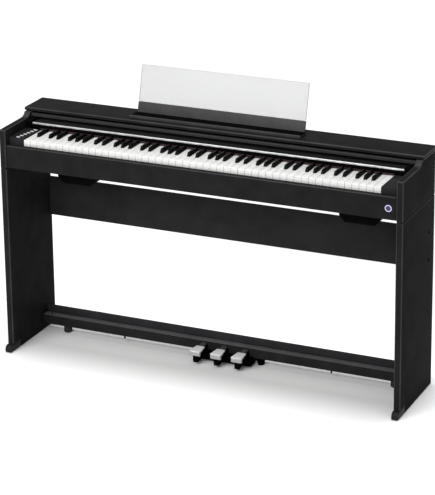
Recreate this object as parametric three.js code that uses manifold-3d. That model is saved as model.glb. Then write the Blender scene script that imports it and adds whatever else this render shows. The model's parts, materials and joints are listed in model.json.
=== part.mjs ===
// A slim upright digital piano on its own stand: two side panels carry the piano unit, a back panel and a
// low pedal beam join them, and the keys, pedals, buttons and sliding key cover are separate moving pieces.
// Millimetres, +Z up, +X to the player's right, +Y away from the player. The floor is z = 0.

import * as THREE from "three";
import { mergeVertices } from "three/addons/utils/BufferGeometryUtils.js";
import Module from "manifold-3d";

// Driving dimensions

const GAP = 0.3;                 // between pieces that touch

const CASE_WIDTH = 1385;         // over the two side panels
const CASE_DEPTH = 295;          // of the side panels; y = 0 is their front
const PANEL = 22;                // thickness of side panels and arms
const EDGE = 3;                  // rounding of their edges
const SEAM_HEIGHT = 641;         // where the piano unit stands on the side panels
const ARM_FRONT_HEIGHT = 772;
const ARM_REAR_HEIGHT = 773;     // just in front of the curve up to the lid

const LID_WIDTH = 1391;
const LID_TOP = 800;
const LID_THICKNESS = 12;
const LID_FRONT = 178;
const LID_BACK = 297;

const FOOT_REACH = 20;           // how far the front feet stand out
const FOOT_LENGTH = 62;
const FOOT_HEIGHT = 25;

const BACK_PANEL = { bottom: 394, top: 529, front: 280, thickness: 12 };

const BEAM = { front: 208, back: 236, bottom: 24, top: 57, wall: 4, slotTop: 52 };
const BRACKET = { left: -90, right: 111, front: 178, bottom: 5, top: 27 };
const CLIPS = [-362, 383];       // small tabs under the beam's front
const LUG = { halfWidth: 2, reach: 6, drop: 8 };           // hold the pedals' rod under the beam's ledge
const BEAM_BOARD = { front: 236.3, back: 250, bottom: 24, top: 80 };
const BEAM_FEET = [-585, 595];
const BEAM_FOOT_Y = 224;
const ADJUSTER_X = 130;
const ADJUSTER_STEM = 5;         // radius of its thread
const PEDAL_ROD = 3;             // radius of the rod that the pedals turn on

const PEDAL_CENTRE = 8;
const PEDAL_PITCH = 74;
const PEDAL = {
  front: 128, waist: 178, pivotY: 224, pivotZ: 45, top: 50, thickness: 6, lip: 16, width: 40, neck: 18,
};
const HEEL = { halfWidth: 8.5, front: 133, back: 168, bottom: 9.5 };    // the block under each pedal's plate
const HUB = 6;                   // radius of each pedal's hub

const BOARD = { front: 22, back: 282, bottom: 646, thickness: 10 };
const RAIL = { front: 3, back: 20.5, bottom: 645, top: 719.5 };
const REAR_COVER = { front: 283, back: 291 };

const WHITE_PITCH = 23.6;
const WHITE_KEYS = 52;
const WHITE_GAP = 1;
const WHITE = { front: 21, back: 206, bottom: 719.8, top: 740 };
const BLACK = { front: 70, back: 133.5, stick: 216, bottom: 722, stickBottom: 733, stickTop: 740.6, top: 752 };
const BLACK_WIDTH = 10.6;
const BLACK_SIDE_GAP = 1;
const FIRST_OCTAVE_KEY = 23;     // white keys before the octave whose keys move one by one
const OCTAVE = 7;

const CHEEK = { front: 21, back: 138, top: 743 };
const BUTTONS = {
  count: 6, firstX: -641, stepX: 3, firstY: 35, stepY: 17.4, width: 12, depth: 5, proud: 1.5, well: 5.2,
};
const POWER = { x: 644, z: 682, ring: 23, button: 14, flange: 3 };

const COVER = { halfWidth: 645, front: 141, back: 270, bottom: 757, top: 765 };
const TRIM = { thickness: 2.2, bottom: 757.8, top: 764.2 };
const BAND = { front: 177, back: 189, bottom: 771.5, top: 782 };
const NAME_RAIL = { front: 138.5, back: 147, bottom: 742.5, top: 755.5, endBack: 262, endTop: 770 };
const FELT = { front: 134.5, back: 138, bottom: 742.5, top: 746.5 };

const LEDGE = { x: -20, width: 598, front: 196, back: 248.5, height: 10, lip: 3 };
const REST = { x: -22, width: 587, tilt: 14.8, footY: 250, base: 38, baseThickness: 7, height: 160, sheet: 4 };

const SPEAKERS = [-468, 516];
const SPEAKER_BOX = { front: 100, back: 232, bottom: 582, width: 140, chamfer: 21, wall: 3 };
const DRIVER = { flange: 43, cone: 36, height: 34 };

const DC = { x: 560, z: 668, width: 12, depth: 14, bore: 6.6 };
const MAIN_BOARD = { left: 250, right: 530, front: 226, back: 268, standoff: 6, thickness: 1.6 };
const KEY_FRAME = {
  front: 30, guideFront: 40, guideBack: 52, guideTop: 700, post: 190, back: 222, top: 716, floor: 5,
};

const INNER = CASE_WIDTH / 2 - PANEL;    // half the clear width between the side panels
const KEYS_LEFT = (-WHITE_PITCH * WHITE_KEYS) / 2;
const LID_UNDERSIDE = LID_TOP - LID_THICKNESS;

// Materials

const finish = (color, roughness, metalness = 0, extra = {}) =>
  new THREE.MeshStandardMaterial({ color, roughness, metalness, ...extra });

const LAMINATE = finish("#242425", 0.5);
const PLASTIC = finish("#1d1d1e", 0.55);
const GREY_PLASTIC = finish("#4a4a4b", 0.45);
const TRIM_METAL = finish("#c9c9c9", 0.3, 0.8);
const CHROME = finish("#dcdcdc", 0.15, 1);
const IVORY = finish("#f4f4f2", 0.3);
const EBONY = finish("#161616", 0.35);
const FELT_CLOTH = finish("#8c1620", 0.95);
const BUTTON_GREY = finish("#c4c4c6", 0.5);
const CLEAR = finish("#eef1f2", 0.08, 0, { transparent: true, opacity: 0.35 });
const BOARD_FIBRE = finish("#3a2f28", 0.8);
const RUBBER = finish("#191919", 0.85);
const CIRCUIT = finish("#1f5a35", 0.5);
const STEEL = finish("#9a9ca0", 0.35, 0.9);
const CONE = finish("#26262a", 0.8);

// Solids: three.js makes each shape, manifold-3d only joins and cuts them

const wasm = await Module();
wasm.setup();

function toSolid(geometry) {
  const bare = geometry.index ? geometry.toNonIndexed() : geometry.clone();
  bare.deleteAttribute("normal");
  bare.deleteAttribute("uv");
  const merged = mergeVertices(bare, 1e-4);
  return new wasm.Manifold(new wasm.Mesh({
    numProp: 3,
    vertProperties: new Float32Array(merged.attributes.position.array),
    triVerts: new Uint32Array(merged.index.array),
  }));
}

function toGeometry(solid) {
  const mesh = solid.getMesh();
  const geometry = new THREE.BufferGeometry();
  geometry.setAttribute("position", new THREE.BufferAttribute(mesh.vertProperties, 3));
  geometry.setIndex(new THREE.BufferAttribute(mesh.triVerts, 1));
  return geometry;
}

const join = (...shapes) => toGeometry(shapes.map(toSolid).reduce((a, b) => a.add(b)));
const cut = (shape, ...tools) => {
  const rest = tools.map(toSolid).reduce((left, tool) => left.subtract(tool), toSolid(shape));
  return toGeometry(rest);
};

// A box from its lowest corner to its highest
function block(x0, x1, y0, y1, z0, z1) {
  const geometry = new THREE.BoxGeometry(x1 - x0, y1 - y0, z1 - z0);
  return geometry.translate((x0 + x1) / 2, (y0 + y1) / 2, (z0 + z1) / 2);
}

function outline(points) {
  return new THREE.Shape(points.map(([u, v]) => new THREE.Vector2(u, v)));
}

function extrude(shape, depth, edge = 0) {
  const geometry = new THREE.ExtrudeGeometry(shape, {
    depth: depth - 2 * edge,
    bevelEnabled: edge > 0,
    bevelThickness: edge,
    bevelSize: edge,
    bevelOffset: -edge,
    bevelSegments: 2,
    curveSegments: 4,
  });
  return geometry.translate(0, 0, edge);
}

// An outline in Y and Z, run along X from x0 to x1
function alongX(shape, x0, x1, edge = 0) {
  const turn = new THREE.Matrix4().makeBasis(
    new THREE.Vector3(0, 1, 0), new THREE.Vector3(0, 0, 1), new THREE.Vector3(1, 0, 0));
  return extrude(shape, x1 - x0, edge).applyMatrix4(turn).translate(x0, 0, 0);
}

// An outline in X and Z, run along Y from y0 to y1
function alongY(shape, y0, y1, edge = 0) {
  const turn = new THREE.Matrix4().makeBasis(
    new THREE.Vector3(1, 0, 0), new THREE.Vector3(0, 0, 1), new THREE.Vector3(0, -1, 0));
  return extrude(shape, y1 - y0, edge).applyMatrix4(turn).translate(0, y1, 0);
}

// An outline in X and Y, run up Z from z0 to z1
function alongZ(shape, z0, z1, edge = 0) {
  return extrude(shape, z1 - z0, edge).translate(0, 0, z0);
}

const rect = (u0, u1, v0, v1) => outline([[u0, v0], [u1, v0], [u1, v1], [u0, v1]]);

function roundedRect(u0, u1, v0, v1, radius) {
  const shape = new THREE.Shape();
  shape.moveTo(u0 + radius, v0);
  shape.lineTo(u1 - radius, v0);
  shape.absarc(u1 - radius, v0 + radius, radius, -Math.PI / 2, 0);
  shape.lineTo(u1, v1 - radius);
  shape.absarc(u1 - radius, v1 - radius, radius, 0, Math.PI / 2);
  shape.lineTo(u0 + radius, v1);
  shape.absarc(u0 + radius, v1 - radius, radius, Math.PI / 2, Math.PI);
  shape.lineTo(u0, v0 + radius);
  shape.absarc(u0 + radius, v0 + radius, radius, Math.PI, 1.5 * Math.PI);
  return shape;
}

// A round bar along X, centred on (y, z)
function rodX(radius, x0, x1, y, z, sides = 20) {
  const bar = new THREE.CylinderGeometry(radius, radius, x1 - x0, sides);
  return bar.rotateZ(Math.PI / 2).translate((x0 + x1) / 2, y, z);
}

// A round bar along Y, centred on (x, z)
function rodY(radius, y0, y1, x, z, sides = 24) {
  return new THREE.CylinderGeometry(radius, radius, y1 - y0, sides).translate(x, (y0 + y1) / 2, z);
}

// A turned piece on a vertical axis, from [radius, height] pairs that start and end on the axis
function turned(profile, x, y, sides = 20) {
  const points = profile.map(([r, z]) => new THREE.Vector2(r, z));
  return new THREE.LatheGeometry(points, sides).rotateX(Math.PI / 2).translate(x, y, 0);
}

// The stand

function sidePanel(side) {
  const notch = FOOT_LENGTH - FOOT_REACH + GAP;
  const shape = outline([
    [0, FOOT_HEIGHT + GAP], [notch, FOOT_HEIGHT + GAP], [notch, 0], [CASE_DEPTH, 0],
    [CASE_DEPTH, SEAM_HEIGHT - GAP], [0, SEAM_HEIGHT - GAP],
  ]);
  const inner = side * INNER;
  const outer = (side * CASE_WIDTH) / 2;
  return alongX(shape, Math.min(inner, outer), Math.max(inner, outer), EDGE);
}

// A moulded shoe let into the panel's front corner, with a rounded nose
function frontFoot(side) {
  const shape = new THREE.Shape();
  const nose = FOOT_HEIGHT * 0.62;
  shape.moveTo(-FOOT_REACH + 4, 0);
  shape.lineTo(FOOT_LENGTH - FOOT_REACH, 0);
  shape.lineTo(FOOT_LENGTH - FOOT_REACH, FOOT_HEIGHT);
  shape.lineTo(-2, FOOT_HEIGHT);
  shape.quadraticCurveTo(-FOOT_REACH, FOOT_HEIGHT, -FOOT_REACH, FOOT_HEIGHT - nose);
  shape.lineTo(-FOOT_REACH, 4);
  shape.quadraticCurveTo(-FOOT_REACH, 0, -FOOT_REACH + 4, 0);
  const inner = side * INNER;
  const outer = (side * CASE_WIDTH) / 2;
  return alongX(shape, Math.min(inner, outer), Math.max(inner, outer), 2);
}

function backPanel() {
  const half = INNER - GAP;
  const { front, thickness, bottom, top } = BACK_PANEL;
  return alongY(rect(-half, half, bottom, top), front, front + thickness, 1);
}

function beamBoard() {
  const half = INNER - GAP;
  const { front, back, bottom, top } = BEAM_BOARD;
  return alongY(rect(-half, half, bottom, top), front, back, 1);
}

const pedalX = (index) => PEDAL_CENTRE + (index - 1) * PEDAL_PITCH;

// An angle section, open to the back and below, with a slot for each pedal, lugs for the pivot rod, a low box
// under it behind the pedals, seats for the two round feet and a nut block for the floor adjuster
function pedalBeam() {
  const { front, back, bottom, top, wall } = BEAM;
  const section = outline([
    [front, bottom], [front + wall, bottom], [front + wall, top - wall], [back - GAP, top - wall],
    [back - GAP, top], [front, top],
  ]);
  const channel = alongX(section, -INNER + GAP, INNER - GAP);
  const slotHalf = PEDAL.neck / 2 + 3;
  const slots = [0, 1, 2].map((i) => {
    const x = pedalX(i);
    return block(x - slotHalf, x + slotHalf, front - 1, front + wall + 1, BRACKET.top, BEAM.slotTop);
  });
  const lugs = [-1.5, -0.5, 0.5, 1.5].map((step) => {
    const x = PEDAL_CENTRE + step * PEDAL_PITCH;
    const { halfWidth, reach, drop } = LUG;
    return block(x - halfWidth, x + halfWidth, PEDAL.pivotY - reach, PEDAL.pivotY + reach,
      PEDAL.pivotZ - drop, top - wall / 2);
  });
  const bracket = block(
    BRACKET.left, BRACKET.right, BRACKET.front, back - GAP, BRACKET.bottom, BRACKET.top);
  const clips = CLIPS.map((x) => block(x - 3, x + 3, front, front + wall, bottom - 8, bottom + 4));
  const seats = BEAM_FEET.map((x) => block(x - 16, x + 16, front + 1, back - GAP, bottom, bottom + 8));
  const nut = block(ADJUSTER_X - 11, ADJUSTER_X + 11, front + 1, back - GAP, bottom + 3, bottom + 11);
  const hole = ADJUSTER_STEM + 0.4;
  const thread = turned([[0, 0], [hole, 0], [hole, 60], [0, 60]], ADJUSTER_X, BEAM_FOOT_Y);
  const rodHole = rodX(PEDAL_ROD + GAP, -2 * PEDAL_PITCH, 2 * PEDAL_PITCH, PEDAL.pivotY, PEDAL.pivotZ);
  return cut(join(channel, bracket, ...clips, ...lugs, ...seats, nut), rodHole, thread, ...slots);
}

function pedalRod() {
  const reach = 1.5 * PEDAL_PITCH + 4;
  return rodX(PEDAL_ROD, PEDAL_CENTRE - reach, PEDAL_CENTRE + reach, PEDAL.pivotY, PEDAL.pivotZ);
}

// A plate with a deep front edge that tapers to a neck, a ribbed block under it, and a hub on the rod
function pedal(index) {
  const { front, waist, pivotY, pivotZ, top, thickness, lip, width, neck } = PEDAL;
  const x = pedalX(index);
  const plate = outline([
    [-width / 2 + 3, front], [width / 2 - 3, front], [width / 2, front + 5], [width / 2 - 5, waist],
    [neck / 2, waist + 8], [neck / 2, pivotY], [-neck / 2, pivotY], [-neck / 2, waist + 8],
    [-width / 2 + 5, waist], [-width / 2, front + 5],
  ]);
  const lever = alongZ(plate, top - thickness, top, 1);
  const nose = block(-width / 2 + 4, width / 2 - 4, front + 1, HEEL.front, top - lip, top - thickness / 2);
  const heel = block(-HEEL.halfWidth, HEEL.halfWidth, HEEL.front, HEEL.back, HEEL.bottom, top - thickness / 2);
  const hub = rodX(HUB, -neck / 2, neck / 2, pivotY, pivotZ);
  const bore = rodX(PEDAL_ROD + GAP, -neck, neck, pivotY, pivotZ);
  return cut(join(lever, nose, heel, hub), bore).translate(x, 0, 0);
}

function beamFoot(x) {
  const profile = [[0, 0], [11, 0], [14, 3], [14, 14], [12, BEAM.bottom - GAP], [0, BEAM.bottom - GAP]];
  return turned(profile, x, BEAM_FOOT_Y);
}

// A knurled wheel on a short thread that is screwed down until it meets the floor
function adjuster() {
  const profile = [
    [0, 0.3], [10, 0.3], [12, 3], [15, 15], [14, 17], [ADJUSTER_STEM, 17], [ADJUSTER_STEM, 40], [0, 40],
  ];
  return turned(profile, ADJUSTER_X, BEAM_FOOT_Y);
}

// The case of the piano unit

// Nearly level at the front, then a hollow curve up to the lid
function arm(side) {
  const shape = new THREE.Shape();
  shape.moveTo(0, SEAM_HEIGHT);
  shape.lineTo(CASE_DEPTH, SEAM_HEIGHT);
  shape.lineTo(CASE_DEPTH, LID_UNDERSIDE - GAP);
  shape.lineTo(LID_FRONT - 8, LID_UNDERSIDE - GAP);
  shape.quadraticCurveTo(LID_FRONT - 12, ARM_REAR_HEIGHT, LID_FRONT - 38, ARM_REAR_HEIGHT);
  shape.lineTo(5, ARM_FRONT_HEIGHT);
  shape.quadraticCurveTo(0, ARM_FRONT_HEIGHT, 0, ARM_FRONT_HEIGHT - 6);
  const inner = side * INNER;
  const outer = (side * CASE_WIDTH) / 2;
  return alongX(shape, Math.min(inner, outer), Math.max(inner, outer), EDGE);
}

function topLid() {
  const half = LID_WIDTH / 2;
  return alongZ(rect(-half, half, LID_FRONT, LID_BACK), LID_UNDERSIDE, LID_TOP, EDGE);
}

function fasciaBand() {
  const { front, back, bottom, top } = BAND;
  return alongX(roundedRect(front, back, bottom, top, 4), -INNER + GAP, INNER - GAP);
}

function bottomBoard() {
  const half = INNER - GAP;
  return block(-half, half, BOARD.front, BOARD.back, BOARD.bottom, BOARD.bottom + BOARD.thickness);
}

// The power button's bore has a wider seat in front for a thin light ring
function frontRail() {
  const { front, back, bottom, top } = RAIL;
  const rail = alongX(roundedRect(front, back, bottom, top, 2), -INNER + GAP, INNER - GAP);
  const seat = rodY(POWER.ring / 2 + GAP, front - 1, front + POWER.flange, POWER.x, POWER.z);
  const bore = rodY(POWER.button / 2 + 1.2, front, back + 1, POWER.x, POWER.z);
  return cut(rail, seat, bore);
}

function powerButton() {
  return rodY(POWER.button / 2, RAIL.front - 1.6, RAIL.back - 3, POWER.x, POWER.z);
}

function rearCover() {
  const half = INNER - GAP;
  const plate = block(-half, half, REAR_COVER.front, REAR_COVER.back, SEAM_HEIGHT, LID_UNDERSIDE - GAP);
  const socket = rodY(DC.bore, REAR_COVER.front - 1, REAR_COVER.back + 1, DC.x, DC.z);
  return cut(plate, socket);
}

function dcInlet() {
  const { x, z, width, depth, bore } = DC;
  const back = REAR_COVER.front - GAP;
  const body = block(x - width / 2, x + width / 2, back - depth, back, z - width / 2, z + width / 2);
  return cut(body, rodY(bore / 2, back - depth + 2, back + 1, x, z, 20));
}

function cheek(side) {
  const near = side * (-KEYS_LEFT + WHITE_GAP);
  const far = side * (INNER - GAP);
  const floor = BOARD.bottom + BOARD.thickness + GAP;
  const body = alongZ(
    rect(Math.min(near, far), Math.max(near, far), CHEEK.front, CHEEK.back), floor, CHEEK.top, 1);
  if (side > 0) return body;
  const wells = buttonPlaces().map(([x, y]) => {
    const { width, depth, well } = BUTTONS;
    const halfWidth = width / 2 + 0.5;
    const halfDepth = depth / 2 + 0.5;
    return block(x - halfWidth, x + halfWidth, y - halfDepth, y + halfDepth, CHEEK.top - well, CHEEK.top + 1);
  });
  return cut(body, ...wells);
}

function buttonPlaces() {
  const { count, firstX, stepX, firstY, stepY } = BUTTONS;
  return Array.from({ length: count }, (_, i) => [firstX + i * stepX, firstY + i * stepY]);
}

function button([x, y]) {
  const { width, depth, proud, well } = BUTTONS;
  const cap = rect(x - width / 2, x + width / 2, y - depth / 2, y + depth / 2);
  return alongZ(cap, CHEEK.top - well + 2, CHEEK.top + proud, 0.5);
}

function keyCover() {
  const { halfWidth, front, back, bottom, top } = COVER;
  return alongX(roundedRect(front, back, bottom, top, 1.5), -halfWidth, halfWidth);
}

function coverTrim() {
  const back = COVER.front - GAP;
  const shape = roundedRect(back - TRIM.thickness, back, TRIM.bottom, TRIM.top, 0.8);
  return alongX(shape, -COVER.halfWidth, COVER.halfWidth);
}

// The strip behind the keys, with a raised block at each end that the key cover slides between
function nameRail() {
  const half = INNER - GAP;
  const near = COVER.halfWidth + 1;
  const { front, back, bottom, top, endBack, endTop } = NAME_RAIL;
  const strip = block(-half, half, front, back, bottom, top);
  const ends = [[-half, -near], [near, half]].map(
    ([x0, x1]) => block(x0, x1, front, endBack, bottom, endTop));
  return join(strip, ...ends);
}

function keyFelt() {
  return block(KEYS_LEFT, -KEYS_LEFT, FELT.front, FELT.back, FELT.bottom, FELT.top);
}

// A tray with a low guide wall in front and a high wall behind that the keys turn on
function keyFrame() {
  const { front, guideFront, guideBack, guideTop, post, back, top } = KEY_FRAME;
  const floor = BOARD.bottom + BOARD.thickness + GAP;
  const tray = floor + KEY_FRAME.floor;
  const shape = outline([
    [front, floor], [back, floor], [back, top], [post, top], [post, tray], [guideBack, tray],
    [guideBack, guideTop], [guideFront, guideTop], [guideFront, tray], [front, tray],
  ]);
  return alongX(shape, KEYS_LEFT, -KEYS_LEFT);
}

function mainBoard() {
  const { left, right, front, back, standoff, thickness } = MAIN_BOARD;
  const floor = BOARD.bottom + BOARD.thickness + standoff;
  return block(left, right, front, back, floor, floor + thickness);
}

// Keys. A key's letter comes from its place: the lowest is an A.

const LETTERS = ["A", "B", "C", "D", "E", "F", "G"];
const BLACK_SHIFT = { A: 2.5, C: -2.5, D: 2.5, F: -2.8, G: 0 };
const letter = (index) => LETTERS[index % LETTERS.length];
const hasBlackAbove = (index) => index < WHITE_KEYS - 1 && letter(index) in BLACK_SHIFT;

// The middle of the black key between this white key and the next
const blackX = (index) => KEYS_LEFT + (index + 1) * WHITE_PITCH + BLACK_SHIFT[letter(index)];

function whiteKey(index) {
  const left = KEYS_LEFT + index * WHITE_PITCH + WHITE_GAP / 2;
  const right = left + WHITE_PITCH - WHITE_GAP;
  const step = BLACK.front - 1.5;
  const room = BLACK_WIDTH / 2 + BLACK_SIDE_GAP;
  const points = [[left, WHITE.front], [right, WHITE.front]];
  if (hasBlackAbove(index)) {
    const narrow = blackX(index) - room;
    points.push([right, step], [narrow, step], [narrow, WHITE.back]);
  } else {
    points.push([right, WHITE.back]);
  }
  if (index > 0 && hasBlackAbove(index - 1)) {
    const narrow = blackX(index - 1) + room;
    points.push([narrow, WHITE.back], [narrow, step], [left, step]);
  } else {
    points.push([left, WHITE.back]);
  }
  return alongZ(outline(points), WHITE.bottom, WHITE.top);
}

function blackKey(index) {
  const { front, back, stick, bottom, stickBottom, stickTop, top } = BLACK;
  const shape = outline([
    [front, bottom], [back, bottom], [back, stickBottom], [stick, stickBottom], [stick, stickTop],
    [back, stickTop], [back, top], [front + 6, top], [front + 2, top - 2], [front, stickTop],
  ]);
  const x = blackX(index);
  return alongX(shape, x - BLACK_WIDTH / 2, x + BLACK_WIDTH / 2);
}

const range = (from, to) => Array.from({ length: to - from }, (_, i) => from + i);

// A bank's keys share one cross-bar near the pivot, under the black keys' sticks or behind them
function whiteBank(from, to) {
  const bar = block(
    KEYS_LEFT + from * WHITE_PITCH + WHITE_GAP, KEYS_LEFT + to * WHITE_PITCH - WHITE_GAP,
    WHITE.back - 9, WHITE.back - 1, BLACK.bottom, BLACK.stickBottom - 2);
  return join(bar, ...range(from, to).map(whiteKey));
}

function blackBank(from, to) {
  const keys = range(from, to).filter(hasBlackAbove);
  const bar = block(
    blackX(keys[0]) - 4, blackX(keys.at(-1)) + 4, BLACK.stick - 8, BLACK.stick - 1,
    BLACK.stickBottom + 1, BLACK.stickTop - 1);
  return join(bar, ...keys.map(blackKey));
}

// Music rest

// A board on the lid with a low lip along its front for the pages
function pageLedge() {
  const { x, width, front, back, height, lip } = LEDGE;
  const z = LID_TOP + GAP;
  const shape = outline([
    [front, z], [back, z], [back, z + height - lip], [front + 5, z + height - lip], [front + 4, z + height],
    [front, z + height],
  ]);
  return alongX(shape, x - width / 2, x + width / 2);
}

// Set a piece that is drawn upright at the rest's foot to the rest's tilt
function tilted(geometry) {
  const back = new THREE.Matrix4().makeRotationX(THREE.MathUtils.degToRad(-REST.tilt));
  return geometry.applyMatrix4(back).translate(0, REST.footY, LID_TOP + 2.5);
}

function musicBase() {
  const { x, width, base, baseThickness } = REST;
  return tilted(alongY(roundedRect(x - width / 2, x + width / 2, 0, base, 2), 0, baseThickness));
}

function musicPanel() {
  const { x, width, base, baseThickness, height, sheet } = REST;
  const middle = baseThickness / 2;
  const shape = roundedRect(x - width / 2, x + width / 2, base + GAP, height, 6);
  return tilted(alongY(shape, middle - sheet / 2, middle + sheet / 2));
}

// Speakers, hung under the bottom board and facing the floor

// Upright sides with the lower corners cut off at 45 degrees, drawn in by a wall's thickness for the inside
function boxShape(inset, ceiling) {
  const { bottom, width, chamfer } = SPEAKER_BOX;
  const side = width / 2 - inset;
  const slip = inset * Math.tan(Math.PI / 8);
  const low = width / 2 - chamfer - slip;
  const corner = bottom + chamfer + slip;
  return outline([
    [-low, bottom + inset], [low, bottom + inset], [side, corner], [side, ceiling], [-side, ceiling],
    [-side, corner],
  ]);
}

function speakerBox(x) {
  const { front, back, bottom, wall } = SPEAKER_BOX;
  const ceiling = BOARD.bottom - GAP;
  const outer = alongY(boxShape(0, ceiling), front, back);
  const inner = alongY(boxShape(wall, ceiling + 5), front + wall, back - wall);
  const mouth = turned(
    [[0, bottom - 5], [DRIVER.cone, bottom - 5], [DRIVER.cone, bottom + 8], [0, bottom + 8]],
    0, (front + back) / 2);
  return cut(outer, inner, mouth).translate(x, 0, 0);
}

function speaker(x) {
  const z = SPEAKER_BOX.bottom + SPEAKER_BOX.wall + GAP;
  const { flange, cone, height } = DRIVER;
  const profile = [
    [0, z + 14], [cone * 0.3, z + 12], [cone, z], [flange, z], [flange, z + 3], [cone, z + 4],
    [cone * 0.55, z + height - 12], [cone * 0.55, z + height], [0, z + height],
  ];
  return turned(profile, x, (SPEAKER_BOX.front + SPEAKER_BOX.back) / 2);
}

// Assembly

const piano = new THREE.Group();

function add(name, geometry, material) {
  const mesh = new THREE.Mesh(geometry, material);
  mesh.name = name;
  piano.add(mesh);
}

for (const [name, side] of [["left", -1], ["right", 1]]) {
  add(`side_panel_${name}`, sidePanel(side), LAMINATE);
  add(`front_foot_${name}`, frontFoot(side), PLASTIC);
  add(`arm_${name}`, arm(side), LAMINATE);
  add(`cheek_${name}`, cheek(side), PLASTIC);
}

add("back_panel", backPanel(), LAMINATE);
add("beam_board", beamBoard(), LAMINATE);
add("pedal_beam", pedalBeam(), LAMINATE);
add("pedal_rod", pedalRod(), STEEL);
["left", "middle", "right"].forEach((name, i) => add(`pedal_${name}`, pedal(i), CHROME));
["left", "right"].forEach((name, i) => add(`beam_foot_${name}`, beamFoot(BEAM_FEET[i]), RUBBER));
add("floor_adjuster", adjuster(), PLASTIC);

add("top_lid", topLid(), LAMINATE);
add("fascia_band", fasciaBand(), GREY_PLASTIC);
add("bottom_board", bottomBoard(), BOARD_FIBRE);
add("front_rail", frontRail(), LAMINATE);
add("power_button", powerButton(), PLASTIC);
add("rear_cover", rearCover(), PLASTIC);
add("dc_inlet", dcInlet(), PLASTIC);
buttonPlaces().forEach((place, i) => add(`mode_button_${i + 1}`, button(place), BUTTON_GREY));

add("key_cover", keyCover(), PLASTIC);
add("cover_trim", coverTrim(), TRIM_METAL);
add("name_rail", nameRail(), PLASTIC);
add("key_felt", keyFelt(), FELT_CLOTH);
add("key_frame", keyFrame(), PLASTIC);
add("main_board", mainBoard(), CIRCUIT);

const OCTAVE_END = FIRST_OCTAVE_KEY + OCTAVE;
add("white_keys_bass", whiteBank(0, FIRST_OCTAVE_KEY), IVORY);
add("white_keys_treble", whiteBank(OCTAVE_END, WHITE_KEYS), IVORY);
add("black_keys_bass", blackBank(0, FIRST_OCTAVE_KEY), EBONY);
add("black_keys_treble", blackBank(OCTAVE_END, WHITE_KEYS), EBONY);
for (const index of range(FIRST_OCTAVE_KEY, OCTAVE_END)) {
  add(`white_key_${letter(index).toLowerCase()}`, whiteKey(index), IVORY);
  if (hasBlackAbove(index)) add(`black_key_${letter(index).toLowerCase()}_sharp`, blackKey(index), EBONY);
}

add("page_ledge", pageLedge(), PLASTIC);
add("music_base", musicBase(), GREY_PLASTIC);
add("music_panel", musicPanel(), CLEAR);

SPEAKERS.forEach((x, i) => {
  const name = i === 0 ? "left" : "right";
  add(`speaker_box_${name}`, speakerBox(x), PLASTIC);
  add(`speaker_${name}`, speaker(x), CONE);
});

// The origin is the middle of the footprint, from the front feet to the back of the lid
piano.position.y = (FOOT_REACH - LID_BACK) / 2;

export default piano;
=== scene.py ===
"""Looks of the digital piano on its stand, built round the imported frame. Metres, +Z up."""

import json
import math
from contextlib import contextmanager

import bmesh
import bpy
from mathutils import Matrix, Vector

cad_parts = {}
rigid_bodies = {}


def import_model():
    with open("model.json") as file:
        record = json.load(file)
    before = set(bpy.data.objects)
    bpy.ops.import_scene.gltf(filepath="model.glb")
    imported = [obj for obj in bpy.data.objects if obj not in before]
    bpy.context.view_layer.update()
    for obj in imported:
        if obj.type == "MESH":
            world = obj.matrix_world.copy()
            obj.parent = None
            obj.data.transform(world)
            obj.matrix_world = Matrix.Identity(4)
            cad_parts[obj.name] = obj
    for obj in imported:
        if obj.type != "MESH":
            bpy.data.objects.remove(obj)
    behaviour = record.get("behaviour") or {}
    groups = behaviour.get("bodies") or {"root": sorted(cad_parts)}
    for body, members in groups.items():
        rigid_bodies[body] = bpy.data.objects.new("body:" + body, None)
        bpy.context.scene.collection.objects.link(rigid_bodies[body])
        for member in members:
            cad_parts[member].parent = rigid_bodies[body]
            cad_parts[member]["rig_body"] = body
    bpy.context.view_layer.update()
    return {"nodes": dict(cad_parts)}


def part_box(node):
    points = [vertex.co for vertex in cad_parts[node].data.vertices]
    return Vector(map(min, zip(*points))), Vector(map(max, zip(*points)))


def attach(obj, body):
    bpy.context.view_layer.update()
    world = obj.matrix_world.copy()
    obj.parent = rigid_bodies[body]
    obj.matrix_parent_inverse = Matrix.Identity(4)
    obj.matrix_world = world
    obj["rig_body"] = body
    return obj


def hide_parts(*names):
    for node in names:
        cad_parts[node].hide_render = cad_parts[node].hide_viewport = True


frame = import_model()
NODES = frame["nodes"]
MM = 0.001

# Camera and studio

CAMERA_PLACE = (2.7581, -6.0045, 2.8758)
CAMERA_YAW = math.radians(24.51)        # turned left from +Y
CAMERA_PITCH = math.radians(-17.82)
CAMERA_ROLL = math.radians(-0.64)
CAMERA_LENS = 159.5
CAMERA_SHIFT_Y = -0.2


def make_camera():
    data = bpy.data.cameras.new("camera")
    data.lens = CAMERA_LENS
    data.sensor_width = 36
    data.shift_y = CAMERA_SHIFT_Y
    data.clip_end = 50
    camera = bpy.data.objects.new("camera", data)
    bpy.context.scene.collection.objects.link(camera)
    turn = (
        Matrix.Rotation(CAMERA_YAW, 4, "Z")
        @ Matrix.Rotation(math.pi / 2 + CAMERA_PITCH, 4, "X")
        @ Matrix.Rotation(CAMERA_ROLL, 4, "Z")
    )
    camera.matrix_world = Matrix.Translation(CAMERA_PLACE) @ turn
    bpy.context.scene.camera = camera


def soft_light(name, place, aim, width, height, power):
    data = bpy.data.lights.new(name, "AREA")
    data.shape = "RECTANGLE"
    data.size = width
    data.size_y = height
    data.energy = power
    light = bpy.data.objects.new(name, data)
    bpy.context.scene.collection.objects.link(light)
    light.location = place
    light.rotation_euler = (Vector(aim) - Vector(place)).to_track_quat("-Z", "Y").to_euler()


# Colours and materials. Each is named for the real material; copies that carry painted light or shade say so
# where they stand.


def colour(hex_value):
    """An sRGB hex colour as linear RGBA."""
    channels = [int(hex_value[i:i + 2], 16) / 255 for i in (1, 3, 5)]
    linear = [c / 12.92 if c <= 0.04045 else ((c + 0.055) / 1.055) ** 2.4 for c in channels]
    return (*linear, 1.0)


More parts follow.
